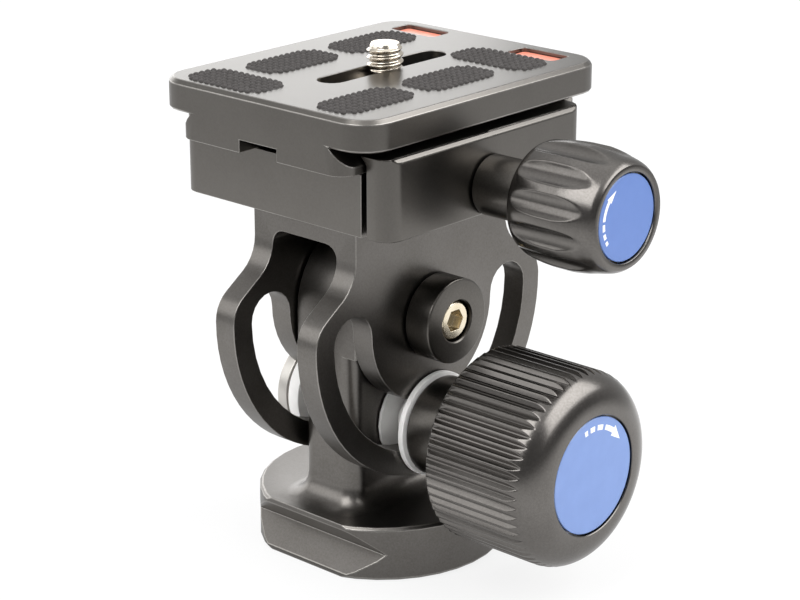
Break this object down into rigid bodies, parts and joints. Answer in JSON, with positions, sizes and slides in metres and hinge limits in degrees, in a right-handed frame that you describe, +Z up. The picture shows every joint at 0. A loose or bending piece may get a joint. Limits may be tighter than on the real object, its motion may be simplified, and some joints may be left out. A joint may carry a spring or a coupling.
{
  "type": "monopod tilt head",
  "caption": "Tilt head for a monopod: a round threaded foot and post, a slotted fork that leans and is locked by a side knob, and a screw clamp that holds a sliding dovetail plate with a camera screw.",
  "frame": {"origin": "middle of the foot's underside, on the axis of the monopod's stud", "axes": "+Z up the post, +X along the tilt axis towards the knobs, +Y along the dovetail plate"},
  "size_m": [0.0776, 0.0607, 0.0903],
  "materials": {
    "black_anodised": "black anodised, satin",
    "black_turned": "black anodised, finely turned",
    "bright_steel": "polished nickel plate",
    "grey_steel": "satin",
    "brass": "bright",
    "bronze_bush": "satin",
    "white_nylon": "satin",
    "black_rubber": "matte, finely knurled",
    "knob_black": "black anodised, satin",
    "blue_disc": "blue lacquer",
    "red_inlay": "orange-red paint"
  },
  "bodies": {
    "base": {"base_post": "black_anodised", "socket_bush": "grey_steel", "pivot_bush": "bronze_bush", "friction_washer_left": "grey_steel", "friction_washer_right": "grey_steel", "slot_sleeve_left": "black_turned", "slot_sleeve_right": "black_turned", "lock_bolt": "bright_steel", "lock_spacer": "grey_steel", "thrust_washer": "white_nylon"},
    "lock_slider": {"lock_collar": "black_turned"},
    "lock_knob": {"lock_knob": "knob_black", "lock_insert": "grey_steel", "lock_knob_disc": "blue_disc"},
    "yoke": {"fork": "black_anodised", "pivot_pin": "black_turned", "pivot_cap": "black_turned", "pivot_set_screw": "brass", "clamp_body": "black_anodised", "clamp_mount_screw_front": "grey_steel", "clamp_mount_screw_rear": "grey_steel", "jaw_spring_front": "bright_steel", "jaw_spring_rear": "bright_steel"},
    "jaw": {"movable_jaw": "black_anodised", "guide_pin_front": "grey_steel", "guide_pin_rear": "grey_steel"},
    "clamp_knob": {"clamp_spindle": "grey_steel", "clamp_knob_collar": "black_turned", "clamp_knob": "knob_black", "clamp_knob_disc": "blue_disc"},
    "plate": {"quick_plate": "black_anodised", "grip_pad_1": "black_rubber", "grip_pad_2": "black_rubber", "grip_pad_3": "black_rubber", "grip_pad_4": "black_rubber", "grip_pad_5": "black_rubber", "grip_pad_6": "black_rubber", "pocket_inlay_left": "red_inlay", "pocket_inlay_right": "red_inlay"},
    "camera_slider": {"camera_screw_washer": "bright_steel"},
    "camera_screw": {"camera_screw": "bright_steel"}
  },
  "joints": [
    {"name": "tilt", "type": "hinge", "parent": "base", "child": "yoke", "pos_m": [0, 0, 0.0443], "axis": [1, 0, 0], "range_deg": [-90, 90]},
    {"name": "lock_slide", "type": "slide", "parent": "base", "child": "lock_slider", "axis": [1, 0, 0], "range_m": [0, 0.002]},
    {"name": "lock_turn", "type": "hinge", "parent": "lock_slider", "child": "lock_knob", "pos_m": [0, 0, 0.02425], "axis": [1, 0, 0], "range_deg": [0, 720]},
    {"name": "jaw_slide", "type": "slide", "parent": "yoke", "child": "jaw", "axis": [1, 0, 0], "range_m": [0, 0.005]},
    {"name": "clamp_turn", "type": "hinge", "parent": "jaw", "child": "clamp_knob", "pos_m": [0, 0, 0.07025], "axis": [1, 0, 0], "range_deg": [0, 1800]},
    {"name": "plate_slide", "type": "slide", "parent": "yoke", "child": "plate", "axis": [0, 1, 0], "range_m": [-0.012, 0.012]},
    {"name": "screw_slide", "type": "slide", "parent": "plate", "child": "camera_slider", "axis": [0, 1, 0], "range_m": [-0.012, 0.011]},
    {"name": "screw_turn", "type": "hinge", "parent": "camera_slider", "child": "camera_screw", "pos_m": [0, 0.00095, 0.078], "axis": [0, 0, 1], "continuous": true}
  ],
  "couplings": [
    {"joint": "lock_slide", "follows": "lock_turn", "m_per_rad": 0.00015915},
    {"joint": "jaw_slide", "follows": "clamp_turn", "m_per_rad": 0.00015915}
  ]
}
